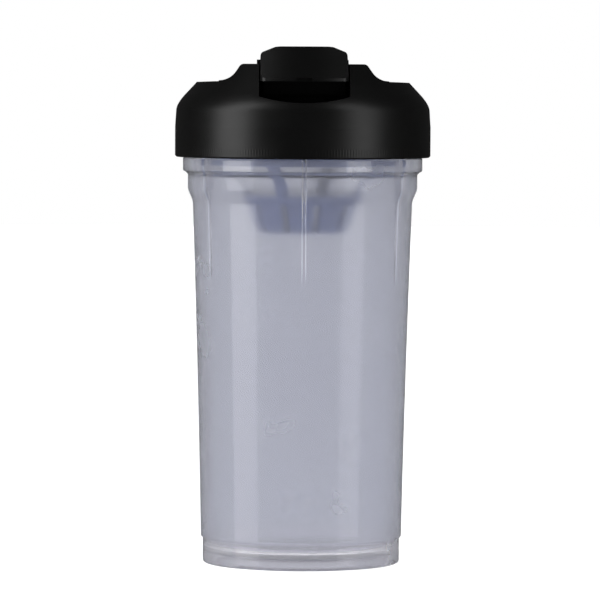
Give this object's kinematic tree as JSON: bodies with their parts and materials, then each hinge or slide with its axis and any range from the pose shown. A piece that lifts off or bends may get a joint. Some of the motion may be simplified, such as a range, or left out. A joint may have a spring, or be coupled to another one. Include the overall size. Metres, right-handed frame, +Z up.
{
  "type": "protein shaker bottle",
  "caption": "Protein shaker bottle: clear tapered cup with inner ribs, black screw lid with a raised bridge, flip cap over the spout and a hanging mixing basket.",
  "frame": {"origin": "centre of the cup's foot, on the surface it stands on", "axes": "+Z up through the lid, the spout and the lip of the flip cap on -Y, hinge pin along X"},
  "size_m": [0.102, 0.102, 0.2062],
  "materials": {
    "clear_plastic": "frosted translucent polypropylene, lilac grey, glossy outside",
    "black_plastic": "satin black moulded polypropylene",
    "grey_plastic": "satin blue-grey moulded polypropylene",
    "seal": "soft silicone, matt",
    "steel": "ground stainless steel"
  },
  "bodies": {
    "cup": {"cup": "clear_plastic"},
    "seal_ring": {"lid_gasket": "seal"},
    "lid": {"screw_lid": "black_plastic", "hinge_pin": "steel"},
    "cap": {"flip_cap": "black_plastic", "spout_plug": "seal"},
    "basket": {"mixing_basket": "grey_plastic"}
  },
  "joints": [
    {"name": "lid_lift", "type": "slide", "parent": "cup", "child": "seal_ring", "axis": [0, 0, 1], "range_m": [0, 0.054]},
    {"name": "lid_turn", "type": "hinge", "parent": "seal_ring", "child": "lid", "pos_m": [0, 0, 0.18], "axis": [0, 0, 1], "range_deg": [0, 1620]},
    {"name": "cap_flip", "type": "hinge", "parent": "lid", "child": "cap", "pos_m": [0, 0.012, 0.1956], "axis": [-1, 0, 0], "range_deg": [0, 130]},
    {"name": "basket_pull", "type": "slide", "parent": "lid", "child": "basket", "axis": [0, 0, -1], "range_m": [0, 0.04]}
  ],
  "couplings": [
    {"joint": "lid_lift", "follows": "lid_turn", "m_per_rad": 0.0019099}
  ]
}
